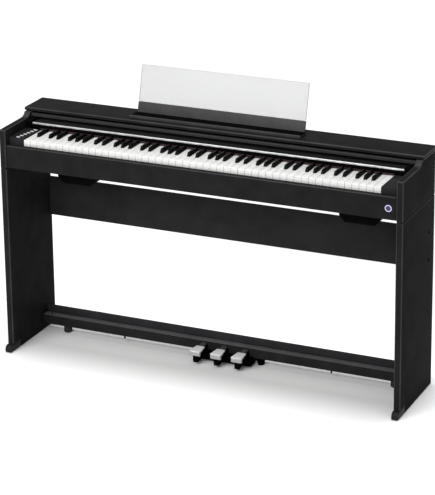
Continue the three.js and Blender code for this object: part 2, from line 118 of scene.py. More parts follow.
def add_node(material, kind, settings=None, **links):
    """Adds a shader node. settings are attributes or socket values; links are sockets fed by other nodes."""
    node = material.node_tree.nodes.new(kind)
    for name, value in (settings or {}).items():
        if name in node.inputs:
            node.inputs[name].default_value = value
        else:
            setattr(node, name, value)
    for name, source in links.items():
        material.node_tree.links.new(source, node.inputs[name.replace("_", " ")])
    return node


def new_material(name, hex_value, roughness, **sockets):
    """A Principled material with its constants set on the shader's own sockets."""
    material = bpy.data.materials.new(name)
    material.use_nodes = True
    shader = material.node_tree.nodes["Principled BSDF"]
    shader.inputs["Base Color"].default_value = colour(hex_value)
    shader.inputs["Roughness"].default_value = roughness
    for socket, value in sockets.items():
        shader.inputs[socket.replace("_", " ")].default_value = value
    return material, shader


def link(material, source, shader, socket):
    material.node_tree.links.new(source, shader.inputs[socket])


def stretched_noise(material, size, stretch=(1, 1, 1), detail=3.0, roughness=0.5):
    """Noise whose blotches are about size metres across, stretched by the given factors."""
    place = add_node(material, "ShaderNodeTexCoord")
    mapping = add_node(
        material, "ShaderNodeMapping", {"Scale": tuple(1 / (size * s) for s in stretch)},
        Vector=place.outputs["Object"],
    )
    return add_node(
        material, "ShaderNodeTexNoise", {"Scale": 1.0, "Detail": detail, "Roughness": roughness},
        Vector=mapping.outputs["Vector"],
    )


def colour_spread(material, shader, source, low, high, start=0.3, end=0.7):
    """Runs the base colour from low to high over a noise's middle range."""
    ramp = add_node(material, "ShaderNodeValToRGB", None, Fac=source.outputs[0])
    ramp.color_ramp.elements[0].position = start
    ramp.color_ramp.elements[0].color = colour(low)
    ramp.color_ramp.elements[1].position = end
    ramp.color_ramp.elements[1].color = colour(high)
    link(material, ramp.outputs["Color"], shader, "Base Color")


def roughness_spread(material, shader, source, low, high):
    spread = add_node(
        material, "ShaderNodeMapRange",
        {"From Min": 0.3, "From Max": 0.7, "To Min": low, "To Max": high}, Value=source.outputs[0],
    )
    link(material, spread.outputs["Result"], shader, "Roughness")


def bump(material, shader, source, depth):
    relief = add_node(
        material, "ShaderNodeBump", {"Strength": 1.0, "Distance": depth}, Height=source.outputs[0]
    )
    link(material, relief.outputs["Normal"], shader, "Normal")


def foil_laminate(name, grain, low="#202021", high="#272728", sheen=0.03):
    """Foil wrapped on fibreboard: nearly matt, with faint long pores drawn a little coarse so they show."""
    material, shader = new_material(name, low, 0.5, IOR=1.5, Specular_IOR_Level=sheen)
    pores = stretched_noise(material, 0.9 * MM, grain, 4, 0.6)
    clouds = stretched_noise(material, 60 * MM, (1, 1, 1), 2)
    colour_spread(material, shader, clouds, low, high)
    roughness_spread(material, shader, pores, 0.42, 0.58)
    bump(material, shader, pores, 0.03 * MM)
    return material


def moulded_abs(name, low, high, roughness, sheen=0.12):
    """ABS from a spark-eroded mould: a fine even grit that breaks up the highlights."""
    material, shader = new_material(name, low, roughness, IOR=1.52, Specular_IOR_Level=sheen)
    grain = stretched_noise(material, 0.45 * MM, (1, 1, 1), 2, 0.5)
    clouds = stretched_noise(material, 35 * MM, (1, 1, 1), 2)
    colour_spread(material, shader, clouds, low, high)
    roughness_spread(material, shader, grain, roughness - 0.06, roughness + 0.08)
    bump(material, shader, grain, 0.02 * MM)
    return material


def key_abs():
    """White key tops: polished ABS with a soft gloss and a very slight unevenness from the mould."""
    material, shader = new_material(
        "white_key_abs", "#d9d9d7", 0.28, IOR=1.5, Coat_Weight=0.25, Coat_Roughness=0.12)
    sink = stretched_noise(material, 9 * MM, (1, 4, 1), 2)
    colour_spread(material, shader, sink, "#d5d5d3", "#dddddb")
    roughness_spread(material, shader, sink, 0.24, 0.32)
    bump(material, shader, sink, 0.02 * MM)
    return material


def sharp_abs():
    """Black key tops: matt ABS with fine lengthwise lines, like ebony."""
    material, shader = new_material("black_key_abs", "#040404", 0.4, IOR=1.5, Specular_IOR_Level=0.04)
    lines = stretched_noise(material, 0.35 * MM, (1, 30, 1), 3, 0.6)
    colour_spread(material, shader, lines, "#030303", "#080808")
    roughness_spread(material, shader, lines, 0.28, 0.42)
    bump(material, shader, lines, 0.03 * MM)
    return material


def brushed_metal(name, low, high, roughness, along, metallic=1.0):
    """Metal brushed along one axis, its lines coarser than real ones, to show. Set less metallic, its light
    base shows as diffuse brightness: painted reflection.
    """
    stretch = tuple(60 if axis == along else 1 for axis in "XYZ")
    material, shader = new_material(name, low, roughness, Metallic=metallic)
    lines = stretched_noise(material, 0.25 * MM, stretch, 4, 0.65)
    colour_spread(material, shader, lines, low, high)
    roughness_spread(material, shader, lines, roughness - 0.06, roughness + 0.08)
    bump(material, shader, lines, 0.01 * MM)
    return material


def wool_felt():
    """Pressed wool: matt, fibrous, with a sheen at its edges."""
    # Its red is darkened well below the felt's own: painted shade where it lies under the name rail.
    material, shader = new_material(
        "wool_felt", "#2c070c", 0.95, Sheen_Weight=0.08, Sheen_Roughness=0.5)
    fibres = stretched_noise(material, 0.5 * MM, (3, 1, 1), 6, 0.75)
    colour_spread(material, shader, fibres, "#220509", "#380a11")
    bump(material, shader, fibres, 0.25 * MM)
    return material


def moulded_rubber():
    """Carbon-filled rubber: dull, with a slight bloom."""
    material, shader = new_material("moulded_rubber", "#171717", 0.85, IOR=1.52)
    bloom = stretched_noise(material, 6 * MM, (1, 1, 1), 5, 0.7)
    colour_spread(material, shader, bloom, "#131313", "#202020")
    bump(material, shader, bloom, 0.04 * MM)
    return material


def clear_acrylic():
    """Cast acrylic sheet: clear, with a soft gloss and a light grey cast that slowly varies."""
    material, shader = new_material(
        "clear_acrylic", "#bbbcbc", 0.32, IOR=1.49, Specular_IOR_Level=0.08, Alpha=0.36)
    cast = stretched_noise(material, 260 * MM, (1, 1, 1), 1)
    colour_spread(material, shader, cast, "#b5b6b6", "#c0c1c1", 0.2, 0.8)
    roughness_spread(material, shader, cast, 0.3, 0.35)
    return material


def polished_acrylic_edge():
    """The sheet's polished edges, seen through its full width, read darker than its faces."""
    material, shader = new_material("acrylic_edge", "#8f9495", 0.2, IOR=1.49, Alpha=0.9)
    saw_marks = stretched_noise(material, 1.2 * MM, (4, 1, 4), 3)
    roughness_spread(material, shader, saw_marks, 0.08, 0.2)
    bump(material, shader, saw_marks, 0.02 * MM)
    return material


def diffusing_acrylic():
    """Milky acrylic of the button's light ring, with a cool lavender cast."""
    material, shader = new_material(
        "diffusing_acrylic", "#bdb9dc", 0.3, IOR=1.49, Subsurface_Weight=0.3, Subsurface_Scale=1.5 * MM)
    haze = stretched_noise(material, 2 * MM, (1, 1, 1), 2)
    colour_spread(material, shader, haze, "#b4b0d8", "#cbc8e6")
    bump(material, shader, haze, 0.01 * MM)
    return material


def chipboard():
    """Raw chipboard: brown chips a few millimetres long in several tones."""
    material, shader = new_material("chipboard", "#5a4634", 0.8, IOR=1.4)
    place = add_node(material, "ShaderNodeTexCoord")
    mapping = add_node(
        material, "ShaderNodeMapping", {"Scale": (180, 320, 320)}, Vector=place.outputs["Object"])
    chips = add_node(material, "ShaderNodeTexVoronoi", {"Scale": 1.0}, Vector=mapping.outputs["Vector"])
    tone = add_node(material, "ShaderNodeSeparateColor", None, Color=chips.outputs["Color"])
    colour_spread(material, shader, tone, "#3d2f24", "#7a6148", 0.0, 1.0)
    bump(material, shader, chips, 0.1 * MM)
    return material


def solder_mask():
    """Green solder mask over copper tracks that run as straight steps."""
    material, shader = new_material("solder_mask", "#1d5a35", 0.35, IOR=1.5)
    place = add_node(material, "ShaderNodeTexCoord")
    mapping = add_node(
        material, "ShaderNodeMapping", {"Scale": (220, 220, 220)}, Vector=place.outputs["Object"])
    tracks = add_node(
        material, "ShaderNodeTexBrick", {"Color1": colour("#1a5230"), "Color2": colour("#1f6339"),
                                         "Mortar": colour("#3b8a57"), "Scale": 1.0, "Mortar Size": 0.06},
        Vector=mapping.outputs["Vector"])
    link(material, tracks.outputs["Color"], shader, "Base Color")
    bump(material, shader, tracks, 0.03 * MM)
    return material


def smoked_acrylic():
    """The power button's cap: dark, polished acrylic with a blue-black depth."""
    material, shader = new_material("smoked_acrylic", "#161a35", 0.16, IOR=1.49)
    swirl = stretched_noise(material, 5 * MM, (1, 1, 1), 2)
    colour_spread(material, shader, swirl, "#12152b", "#1b2042")
    bump(material, shader, swirl, 0.01 * MM)
    return material


def pressed_paper():
    """Speaker cone paper: dark fibrous pulp."""
    material, shader = new_material("cone_paper", "#242428", 0.85, IOR=1.4)
    pulp = stretched_noise(material, 0.7 * MM, (1, 1, 1), 5, 0.7)
    colour_spread(material, shader, pulp, "#1c1c20", "#323238")
    bump(material, shader, pulp, 0.1 * MM)
    return material


def studio_paper():
    """Matt white background paper."""
    material, shader = new_material("studio_paper", "#fbfbfb", 0.9, IOR=1.3)
    tooth = stretched_noise(material, 4 * MM, (1, 1, 1), 3)
    bump(material, shader, tooth, 0.02 * MM)
    return material


UP = (1, 1, 14)
ACROSS = (14, 1, 1)
# The side boards' and arms' foil has a slightly darker base than the cross-grain foil: painted shade.
LAMINATE = foil_laminate("foil_laminate", UP, "#1d1d1e", "#232324", 0.003)
LAMINATE_CROSS = foil_laminate("foil_laminate_cross", ACROSS)
# A darker copy of the foil for the lid and the key rail: painted shade.
LAMINATE_SHADED = foil_laminate("foil_laminate_painted_shade", ACROSS, "#1a1a1b", "#202021", 0.02)
# A lighter copy of the same foil for the low board: painted light.
LAMINATE_LIT_BOARD = foil_laminate("low_board_foil_painted_light", ACROSS, "#28282a", "#303032")
# A much lighter copy of the foil for the pedal beam's top ledge: painted light where light falls on it.
BEAM_TOP_PAINTED_LIGHT = foil_laminate("beam_top_foil_painted_light", ACROSS, "#565657", "#606061")
# A lighter, glossier copy of the foil for rounded edges: painted highlight.
HIGHLIGHT_FOIL = foil_laminate("foil_painted_highlight", UP, "#29292a", "#323233", 0.16)
BLACK_ABS = moulded_abs("black_abs", "#161617", "#1b1b1c", 0.5)
DEEP_ABS = moulded_abs("matt_black_abs", "#060607", "#0a0a0b", 0.62, 0.005)
GREY_ABS = moulded_abs("grey_abs", "#303031", "#373738", 0.45)
REST_ABS = moulded_abs("rest_grey_abs", "#3c3c3d", "#434344", 0.5)
# A grey copy of the black plastic for the page ledge's lip and outer faces: painted light.
LEDGE_LIP_LIGHT_ABS = moulded_abs("ledge_abs_painted_light", "#353536", "#3c3c3d", 0.5)
PALE_ABS = moulded_abs("pale_grey_abs", "#c6c6c9", "#cfcfd2", 0.45)
WHITE_KEY = key_abs()
BLACK_KEY = sharp_abs()
# Only partly metallic, so its light base also shows as diffuse brightness: partly the aluminium's own colour,
# partly painted reflection.
BRIGHT_TRIM = brushed_metal("brushed_aluminium_painted_shine", "#d2d2d2", "#ececec", 0.34, "X", 0.6)
# Almost no metallic, with a near-white base and brighter streaks: the plate's bright reflections painted in
# as colour.
PLATE_PAINTED_SHINE = brushed_metal("plated_steel", "#e4e4e4", "#ffffff", 0.34, "Y", 0.03)
# A darker copy of the plate's finish for its lip and sides, which face away from the light: painted shade.
PLATE_PAINTED_SHADE = brushed_metal("plate_steel_painted_shade", "#8e8e8f", "#d0d0d1", 0.3, "X", 0.4)
ZINC_STEEL = brushed_metal("zinc_plated_steel", "#8f9194", "#b0b2b5", 0.32, "X")
BLACK_SCREW = brushed_metal("blackened_steel", "#2a2a2b", "#3a3a3b", 0.4, "X")
FELT = wool_felt()
RUBBER = moulded_rubber()
ACRYLIC = clear_acrylic()
ACRYLIC_EDGE = polished_acrylic_edge()
LIGHT_RING = diffusing_acrylic()
CHIPBOARD = chipboard()
CIRCUIT = solder_mask()
CONE_PAPER = pressed_paper()
SMOKED_ACRYLIC = smoked_acrylic()
PAPER = studio_paper()

# Modelling helpers

GAP = 0.3 * MM                   # what touching pieces keep between them
TINY = 0.05 * MM
OUTWARD = {
    "Z": Matrix.Identity(4),
    "-Z": Matrix.Rotation(math.pi, 4, "X"),
    "Y": Matrix.Rotation(-math.pi / 2, 4, "X"),
    "-Y": Matrix.Rotation(math.pi / 2, 4, "X"),
    "X": Matrix.Rotation(math.pi / 2, 4, "Y"),
    "-X": Matrix.Rotation(-math.pi / 2, 4, "Y"),
}


def deselect():
    bpy.ops.object.select_all(action="DESELECT")


def activate(piece):
    deselect()
    bpy.context.view_layer.objects.active = piece
    piece.select_set(True)


def settle(name):
    """Names the new primitive and moves its place into its mesh."""
    piece = bpy.context.object
    piece.name = name
    piece.data.name = name
    bpy.ops.object.transform_apply(location=True, rotation=True, scale=True)
    return piece


def add_box(name, low, high):
    deselect()
    low, high = Vector(low), Vector(high)
    bpy.ops.mesh.primitive_cube_add(size=1, location=(low + high) / 2, scale=high - low)
    return settle(name)


def add_cylinder(name, radius, middle, length, axis="Z", vertices=32):
    deselect()
    bpy.ops.mesh.primitive_cylinder_add(
        radius=radius, depth=length, location=middle, rotation=OUTWARD[axis].to_euler(), vertices=vertices)
    return settle(name)


@contextmanager
def editing(piece):
    """Edit mode on one piece."""
    activate(piece)
    bpy.ops.object.mode_set(mode="EDIT")
    yield
    bpy.ops.object.mode_set(mode="OBJECT")


def pick(kind, test):
    """Selects what passes the test, which gets its middle and its normal, or an edge's direction."""
    bpy.ops.mesh.select_mode(type={"faces": "FACE", "edges": "EDGE", "verts": "VERT"}[kind])
    bpy.ops.mesh.select_all(action="DESELECT")
    mesh = bmesh.from_edit_mesh(bpy.context.object.data)
    for item in getattr(mesh, kind):
        if kind == "faces":
            chosen = test(item.calc_center_median(), item.normal)
        elif kind == "edges":
            start, end = (corner.co for corner in item.verts)
            chosen = test((start + end) / 2, (end - start).normalized())
        else:
            chosen = test(item.co, item.normal)
        if chosen:
            item.select_set(True)
    mesh.select_flush_mode()
    bmesh.update_edit_mesh(bpy.context.object.data)


def pick_faces(test):
    pick("faces", test)


def pick_edges(test):
    pick("edges", test)


def pick_corners(test):
    pick("verts", lambda place, normal: test(place))


def slice_at(axis, *values):
    """Cuts the whole piece being edited by planes across an axis."""
    direction = {"X": (1, 0, 0), "Y": (0, 1, 0), "Z": (0, 0, 1)}[axis]
    for value in values:
        bpy.ops.mesh.select_all(action="SELECT")
        bpy.ops.mesh.bisect(plane_co=[value * d for d in direction], plane_no=direction)


def push(x=0.0, y=0.0, z=0.0):
    """Extrudes the selection and moves what is new."""
    bpy.ops.mesh.extrude_region_move(TRANSFORM_OT_translate={"value": (x, y, z)})


def shift(x=0.0, y=0.0, z=0.0):
    bpy.ops.transform.translate(value=(x, y, z))


def apply_modifier(piece, kind, **settings):
    activate(piece)
    modifier = piece.modifiers.new(kind.lower(), kind)
    for name, value in settings.items():
        setattr(modifier, name, value)
    bpy.ops.object.modifier_apply(modifier=modifier.name)


def smooth(piece, angle=40):
    activate(piece)
    bpy.ops.object.shade_smooth_by_angle(angle=math.radians(angle))
    return piece


def round_edges(piece, width, segments=3, angle=35):
    """Rounds every edge sharper than the angle."""
    apply_modifier(
        piece, "BEVEL", width=width, segments=segments, limit_method="ANGLE", angle_limit=math.radians(angle))
    return smooth(piece)


def cut_away(piece, *tools):
    """Subtracts the tools, which are then gone."""
    for tool in tools:
        apply_modifier(piece, "BOOLEAN", operation="DIFFERENCE", solver="EXACT", object=tool)
        bpy.data.objects.remove(tool, do_unlink=True)
    return piece


def merged(piece, *others):
    """Makes one closed piece out of several that overlap."""
    for other in others:
        apply_modifier(piece, "BOOLEAN", operation="UNION", solver="EXACT", object=other)
        bpy.data.objects.remove(other, do_unlink=True)
    return piece


def copy_of(piece, name, x=0.0, y=0.0, z=0.0):
    """A copy with its own mesh, moved within that mesh."""
    twin = piece.copy()
    twin.data = piece.data.copy()
    twin.name = name
    twin.data.name = name
    twin.data.transform(Matrix.Translation((x, y, z)))
    bpy.context.scene.collection.objects.link(twin)
    return twin


def joined(name, pieces):
    activate(pieces[0])
    for piece in pieces:
        piece.select_set(True)
    if len(pieces) > 1:
        bpy.ops.object.join()
    pieces[0].name = name
    pieces[0].data.name = name
    return pieces[0]


def turned(name, place, axis, profile, steps=48, angle=30):
    """A turned piece. Its profile, in radius and height, is drawn corner by corner and then spun."""
    deselect()
    bpy.ops.mesh.primitive_plane_add(size=MM)
    piece = settle(name)
    with editing(piece):
        bpy.ops.mesh.select_mode(type="VERT")
        bpy.ops.mesh.select_all(action="SELECT")
        bpy.ops.mesh.merge(type="CENTER")
        shift(x=profile[0][0], z=profile[0][1])
        for (r0, h0), (r1, h1) in zip(profile, profile[1:]):
            push(x=r1 - r0, z=h1 - h0)
        bpy.ops.mesh.select_all(action="SELECT")
        bpy.ops.mesh.spin(steps=steps, angle=math.tau, center=(0, 0, 0), axis=(0, 0, 1))
        bpy.ops.mesh.select_all(action="SELECT")
        bpy.ops.mesh.remove_doubles(threshold=0.001 * MM)
        bpy.ops.mesh.normals_make_consistent(inside=False)
    piece.data.transform(Matrix.Translation(place) @ OUTWARD[axis])
    return smooth(piece, angle)


def coat_faces(piece, base, second, test):
    """Gives the piece its base material, and a second one on the faces that pass the test."""
    for material in (base, second):
        piece.data.materials.append(material)
    for face in piece.data.polygons:
        face.material_index = 1 if test(face.center, face.normal) else 0


def is_rounded(centre, normal):
    """True for the faces of a rounded edge, which take a lighter, glossier foil as painted highlight."""
    return max(abs(part) for part in normal) < 0.985


def finish(piece, material):
    if material:
        piece.data.materials.clear()
        piece.data.materials.append(material)
    return piece


def stand_for(piece, slot, material, *nodes):
    """The finished piece shows instead of these CAD nodes, and rides on their body."""
    finish(piece, material)
    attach(piece, NODES[nodes[0]]["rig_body"])
    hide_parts(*nodes)


def go_with(piece, material, node):
    """The finished piece is added to this CAD node's body."""
    finish(piece, material)
    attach(piece, NODES[node]["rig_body"])


# The stand

SIDES = ("left", "right")
BOARD_EDGE = 3 * MM


def side_panel(side):
    """A foil-wrapped board, shorter where the front foot is let in."""
    low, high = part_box(f"side_panel_{side}")
    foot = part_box(f"front_foot_{side}")[1]
    ledge = foot.z + GAP
    panel = add_box(f"{side}_side_board", (low.x, low.y, ledge), high)
    with editing(panel):
        slice_at("Y", foot.y + GAP)
        pick_faces(lambda c, n: n.z < -0.5 and c.y > foot.y)
        push(z=low.z - ledge)
    round_edges(panel, BOARD_EDGE, 4)
    # The board is the slightly darker foil, painted shade; its rounded front edges take the lighter, glossier
    # foil, painted highlight.
    coat_faces(panel, LAMINATE, HIGHLIGHT_FOIL, lambda c, n: is_rounded(c, n) and abs(n.z) < 0.2)
    stand_for(panel, "laminate", None, f"side_panel_{side}")


CAP_RADIUS = 5.5 * MM
CAP_SETBACK = 50 * MM            # from the panel's rear edge
CAP_HEIGHTS = (439 * MM, 531 * MM)


def screw_caps(side):
    """Press-in covers over the screws that hold the back panel, two on each side."""
    low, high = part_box(f"side_panel_{side}")
    face, axis = (low.x, "-X") if side == "left" else (high.x, "X")
    profile = [
        (0, -2 * MM), (3 * MM, -2 * MM), (3 * MM, 0), (CAP_RADIUS, 0), (CAP_RADIUS, 0.5 * MM),
        (CAP_RADIUS - 0.6 * MM, 1.1 * MM), (CAP_RADIUS - 2 * MM, 1.4 * MM), (0, 1.6 * MM),
    ]
    caps = [turned("cap", (face, high.y - CAP_SETBACK, z), axis, profile, 32) for z in CAP_HEIGHTS]
    go_with(joined(f"{side}_screw_caps", caps), DEEP_ABS, f"side_panel_{side}")


def front_foot(side):
    """A moulded shoe with a rounded nose and a pad under it."""
    low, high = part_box(f"front_foot_{side}")
    pad = 2 * MM
    shoe = add_box(f"{side}_foot_shoe", (low.x, low.y, low.z + pad), high)
    with editing(shoe):
        pick_edges(lambda c, d: abs(d.x) > 0.9 and c.y < low.y + TINY and c.z > high.z - TINY)
        bpy.ops.mesh.bevel(offset=15 * MM, segments=8)
        pick_edges(lambda c, d: abs(d.x) > 0.9 and c.y < low.y + TINY and c.z < low.z + pad + TINY)
        bpy.ops.mesh.bevel(offset=3 * MM, segments=3)
    round_edges(shoe, 1.6 * MM, 3, 30)
    stand_for(shoe, "black_plastic", BLACK_ABS, f"front_foot_{side}")
    glide = add_box(
        f"{side}_foot_glide",
        (low.x + 3 * MM, low.y + 6 * MM, low.z), (high.x - 3 * MM, high.y - 4 * MM, low.z + pad),
    )
    round_edges(glide, 0.7 * MM, 2)
    go_with(glide, RUBBER, f"front_foot_{side}")


def flat_board(node, name, slot, material, edge=1.2 * MM):
    """A board cut square, with its edges eased and its long top edge a little rounder."""
    low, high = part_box(node)
    board = add_box(name, low, high)
    with editing(board):
        pick_edges(lambda c, d: abs(d.x) > 0.9 and c.z > high.z - TINY)
        bpy.ops.mesh.bevel(offset=1.6 * edge, segments=4)
    round_edges(board, edge, 3, 50)
    stand_for(board, slot, material, node)


SCREW_RADIUS = 3.6 * MM


def cross_screw(name, place, axis, radius=SCREW_RADIUS):
    """A pan-head screw with a cross recess."""
    height = 0.62 * radius
    head = turned(name, (0, 0, 0), "Z", [
        (0, -radius), (0.45 * radius, -radius), (0.45 * radius, 0), (radius, 0), (radius, 0.3 * height),
        (0.86 * radius, 0.72 * height), (0.55 * radius, 0.95 * height), (0, height),
    ], 24)
    arm, slot = 0.6 * radius, 0.14 * radius
    deep, above = 0.4 * height, 2 * height
    cut_away(
        head,
        add_box("bar", (-arm, -slot, deep), (arm, slot, above)),
        add_box("bar", (-slot, -arm, deep), (slot, arm, above)),
    )
    head.data.transform(Matrix.Translation(place) @ OUTWARD[axis])
    return smooth(head, 30)


def screws(name, places, axis, node, radius=SCREW_RADIUS):
    """A set of the same screw, made once and copied."""
    first = cross_screw(name, places[0], axis, radius)
    rest = [copy_of(first, name, *(Vector(place) - Vector(places[0]))) for place in places[1:]]
    go_with(joined(name, [first, *rest]), BLACK_SCREW, node)


BEAM_WALL = 4 * MM
BEAM_DEPTH = 27.7 * MM
BEAM_DROP = 33 * MM              # from its ledge to its lower edge
BRACKET_ENDS = (-90 * MM, 111 * MM)
BRACKET_TOP = 27 * MM
CLIPS = (-362 * MM, 383 * MM)    # small tabs under its front
PEDALS = ("left", "middle", "right")
SLOT_TOP = 52 * MM
NECK = 18 * MM
ROD_BORE = 3.3 * MM


def middle_of(node):
    low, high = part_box(node)
    return (low + high) / 2


def pedal_beam():
    """An angle section, slotted for the pedals, with lugs, feet seats, clips and a low box behind them."""
    low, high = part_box("pedal_beam")
    front, bottom = high.y - BEAM_DEPTH, high.z - BEAM_DROP
    inside = front + BEAM_WALL
    rail = add_box("pedal_rail", (low.x, front, bottom), (high.x, inside, high.z))
    with editing(rail):
        slice_at("Z", high.z - BEAM_WALL)
        pick_faces(lambda c, n: n.y > 0.5 and c.z > high.z - BEAM_WALL)
        push(y=high.y - inside)
    round_edges(rail, 1.2 * MM, 3)
    slot_half = NECK / 2 + 3 * MM
    centres = [middle_of(f"pedal_{name}").x for name in PEDALS]
    cut_away(rail, *[
        add_box("slot", (x - slot_half, front - MM, BRACKET_TOP), (x + slot_half, inside + MM, SLOT_TOP))
        for x in centres
    ])
    smooth(rail)

    rod = middle_of("pedal_rod")
    pitch = centres[1] - centres[0]
    lugs = []
    for step in (-1.5, -0.5, 0.5, 1.5):
        x = centres[1] + step * pitch
        lug = add_box(
            "lug",
            (x - 2 * MM, rod.y - 6 * MM, rod.z - 8 * MM), (x + 2 * MM, rod.y + 6 * MM, high.z - BEAM_WALL),
        )
        cut_away(lug, add_cylinder("bore", ROD_BORE, (x, rod.y, rod.z), 10 * MM, "X"))
        lugs.append(round_edges(lug, 0.5 * MM, 2))
    for side in SIDES:
        foot = middle_of(f"beam_foot_{side}")
        seat = add_box(
            "seat", (foot.x - 16 * MM, inside, bottom), (foot.x + 16 * MM, high.y, bottom + 8 * MM))
        lugs.append(round_edges(seat, 0.8 * MM, 2))
    screw = middle_of("floor_adjuster")
    nut = add_box(
        "nut", (screw.x - 11 * MM, inside, bottom + 3 * MM), (screw.x + 11 * MM, high.y, bottom + 11 * MM))
    cut_away(nut, add_cylinder("bore", 5.4 * MM, (screw.x, screw.y, bottom + 7 * MM), 20 * MM))
    lugs.append(round_edges(nut, 0.5 * MM, 2))
    for x in CLIPS:
        clip = add_box("clip", (x - 3 * MM, front, bottom - 8 * MM), (x + 3 * MM, inside, bottom + 3 * MM))
        lugs.append(round_edges(clip, 0.8 * MM, 2))
    beam = joined("pedal_rail", [rail, *lugs])
    # The ledge's top faces take the much lighter foil: painted light.
    coat_faces(beam, LAMINATE_CROSS, BEAM_TOP_PAINTED_LIGHT, lambda c, n: n.z > 0.5 and c.z > high.z - 2 * MM)
    stand_for(beam, "laminate", None, "pedal_beam")

    left, right = BRACKET_ENDS
    bracket = add_box("pedal_bracket", (left, low.y, low.z), (right, high.y, BRACKET_TOP))
    with editing(bracket):
        pick_edges(lambda c, d: abs(d.z) > 0.9 and c.y < low.y + TINY)
        bpy.ops.mesh.bevel(offset=8 * MM, segments=6)
    round_edges(bracket, 1.2 * MM, 3)
    go_with(bracket, DEEP_ABS, "pedal_beam")

    inset = 26 * MM
    depth = front + 14 * MM
    places = [(low.x + inset, depth, high.z), (high.x - inset, depth, high.z)]
    screws("beam_screws", places, "Z", "pedal_beam")


PLATE_LENGTH = 50 * MM
PLATE_THICKNESS = 6 * MM
HUB_ABOVE_PLATE = 1 * MM
HUB_RADIUS = 6 * MM
LIP_DROP = 10 * MM               # the plate's front edge turns down
HEEL_HALF_WIDTH = 8.5 * MM


def pedal(name):
    """A plated steel plate on a black lever, with a ribbed block under its front."""
    node = f"pedal_{name}"
    low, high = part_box(node)
    x = (low.x + high.x) / 2
    top = high.z - HUB_ABOVE_PLATE
    waist = low.y + PLATE_LENGTH
    under = top - PLATE_THICKNESS

    plate = add_box(f"pedal_{name}_plate", (low.x, low.y, under), (high.x, waist, top))
    with editing(plate):
        slice_at("Y", low.y + 5 * MM)
        for y, narrower in ((low.y, 3 * MM), (waist, 5 * MM)):
            for side in (-1, 1):
                pick_corners(lambda p: abs(p.y - y) < TINY and (p.x - x) * side > 0)
                shift(x=-side * narrower)
        pick_faces(lambda c, n: n.z < -0.5 and c.y < low.y + 5 * MM)
        push(z=-LIP_DROP)
        pick_edges(lambda c, d: abs(d.x) > 0.9 and c.y < low.y + TINY and c.z > top - TINY)
        bpy.ops.mesh.bevel(offset=2.6 * MM, segments=4)
    round_edges(plate, 1 * MM, 3, 40)
    # The top keeps the near-white finish, painted reflection; the lip and sides take the darker copy, painted
    # shade.
    coat_faces(plate, PLATE_PAINTED_SHINE, PLATE_PAINTED_SHADE, lambda c, n: n.z < 0.4)
    stand_for(plate, "pedal_plate", None, node)

    rod = middle_of("pedal_rod")
    lever = add_box(f"pedal_{name}_arm", (x - NECK / 2, waist + TINY, under), (x + NECK / 2, rod.y, top))
    merged(lever, add_cylinder("hub", HUB_RADIUS, (x, rod.y, rod.z), NECK, "X", 40))
    cut_away(lever, add_cylinder("bore", ROD_BORE, (x, rod.y, rod.z), 2 * NECK, "X", 40))
    round_edges(lever, 0.8 * MM, 2)
    # The black lever takes the rest bar's grey plastic: painted light, so its neck shows against the slot's
    # shade.
    go_with(lever, REST_ABS, node)

    heel_front, heel_back = low.y + 5 * MM, low.y + 40 * MM
    heel = add_box(
        f"pedal_{name}_heel",
        (x - HEEL_HALF_WIDTH, heel_front, low.z), (x + HEEL_HALF_WIDTH, heel_back, under),
    )
    ribs = 5
    pitch = (under - low.z) / (2 * ribs + 1)
    with editing(heel):
        slice_at("Z", *[low.z + pitch * step for step in range(1, 2 * ribs + 1)])
        for rib in range(ribs):
            groove = low.z + pitch * (2 * rib + 1.5)
            pick_faces(lambda c, n: abs(n.z) < 0.5 and abs(c.z - groove) < pitch / 2)
            bpy.ops.mesh.extrude_region_shrink_fatten(TRANSFORM_OT_shrink_fatten={"value": -1.2 * MM})
    round_edges(heel, 0.4 * MM, 2)
    go_with(heel, DEEP_ABS, node)


def beam_foot(side):
    """A turned rubber foot with a rounded tread and a groove."""
    node = f"beam_foot_{side}"
    low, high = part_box(node)
    centre = (low + high) / 2
    r = (high.x - low.x) / 2
    h = high.z - low.z
    profile = [
        (0, 0), (0.72 * r, 0), (0.9 * r, 0.04 * h), (0.98 * r, 0.12 * h), (r, 0.2 * h), (r, 0.5 * h),
        (0.93 * r, 0.53 * h), (0.93 * r, 0.6 * h), (0.99 * r, 0.63 * h), (0.95 * r, 0.85 * h),
        (0.84 * r, h), (0, h),
    ]
    foot = turned(f"{side}_round_foot", (centre.x, centre.y, low.z), "Z", profile)
    stand_for(foot, "foot_rubber", RUBBER, node)


